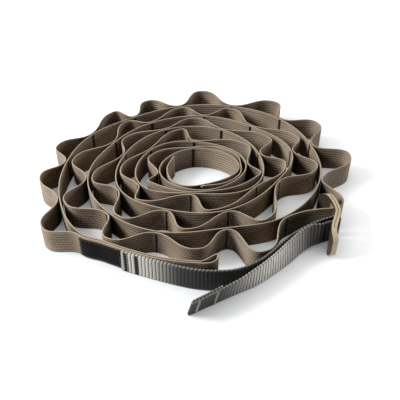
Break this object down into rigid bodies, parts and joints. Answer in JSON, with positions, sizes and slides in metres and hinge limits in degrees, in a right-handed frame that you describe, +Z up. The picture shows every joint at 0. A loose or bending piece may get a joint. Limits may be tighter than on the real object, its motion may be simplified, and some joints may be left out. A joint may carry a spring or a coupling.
{
  "type": "stretching strap",
  "caption": "Daisy-chain stretching strap of brown webbing loops with a black anchor strap and a tan buckle, wound up on edge.",
  "frame": {"origin": "on the table, under the middle of the wound strap's box", "axes": "+Z up along the webbing's width, +X to the buckle's side, -Y to the side with the label and the tail"},
  "size_m": [0.3044, 0.3096, 0.032],
  "materials": {
    "webbing": "woven brown webbing, fine lengthwise ribs",
    "tack_thread": "dark bar tack thread",
    "label_cloth": "black woven label, bare",
    "anchor_webbing": "black cross-ribbed webbing",
    "anchor_thread": "black bar tack thread",
    "buckle_moulding": "tan moulded acetal, satin"
  },
  "bodies": {
    "strap": {"base_webbing": "webbing", "loop_01": "webbing", "loop_02": "webbing", "loop_03": "webbing", "loop_04": "webbing", "loop_05": "webbing", "loop_06": "webbing", "loop_07": "webbing", "loop_08": "webbing", "loop_09": "webbing", "loop_10": "webbing", "loop_11": "webbing", "loop_12": "webbing", "loop_13": "webbing", "loop_14": "webbing", "loop_15": "webbing", "loop_16": "webbing", "loop_17": "webbing", "loop_18": "webbing", "loop_19": "webbing", "loop_20": "webbing", "loop_21": "webbing", "loop_22": "webbing", "loop_23": "webbing", "loop_24": "webbing", "loop_25": "webbing", "loop_26": "webbing", "loop_27": "webbing", "loop_28": "webbing", "loop_29": "webbing", "loop_30": "webbing", "loop_31": "webbing", "loop_32": "webbing", "loop_33": "webbing", "loop_34": "webbing", "loop_35": "webbing", "loop_36": "webbing", "loop_37": "webbing", "loop_38": "webbing", "bar_tacks": "tack_thread", "label": "label_cloth", "anchor_strap": "anchor_webbing", "anchor_tacks": "anchor_thread"},
    "buckle": {"buckle": "buckle_moulding"},
    "tail": {"tail_strap": "anchor_webbing", "hem_tacks": "anchor_thread"}
  },
  "joints": [
    {"name": "buckle_tilt", "type": "hinge", "parent": "strap", "child": "buckle", "pos_m": [0.12, -0.06486, 0.016], "axis": [0, 0, 1], "range_deg": [-5, 10]},
    {"name": "tail_swing", "type": "hinge", "parent": "strap", "child": "tail", "pos_m": [0.1075, -0.07086, 0.016], "axis": [0, 0, 1], "range_deg": [0, 35]}
  ]
}
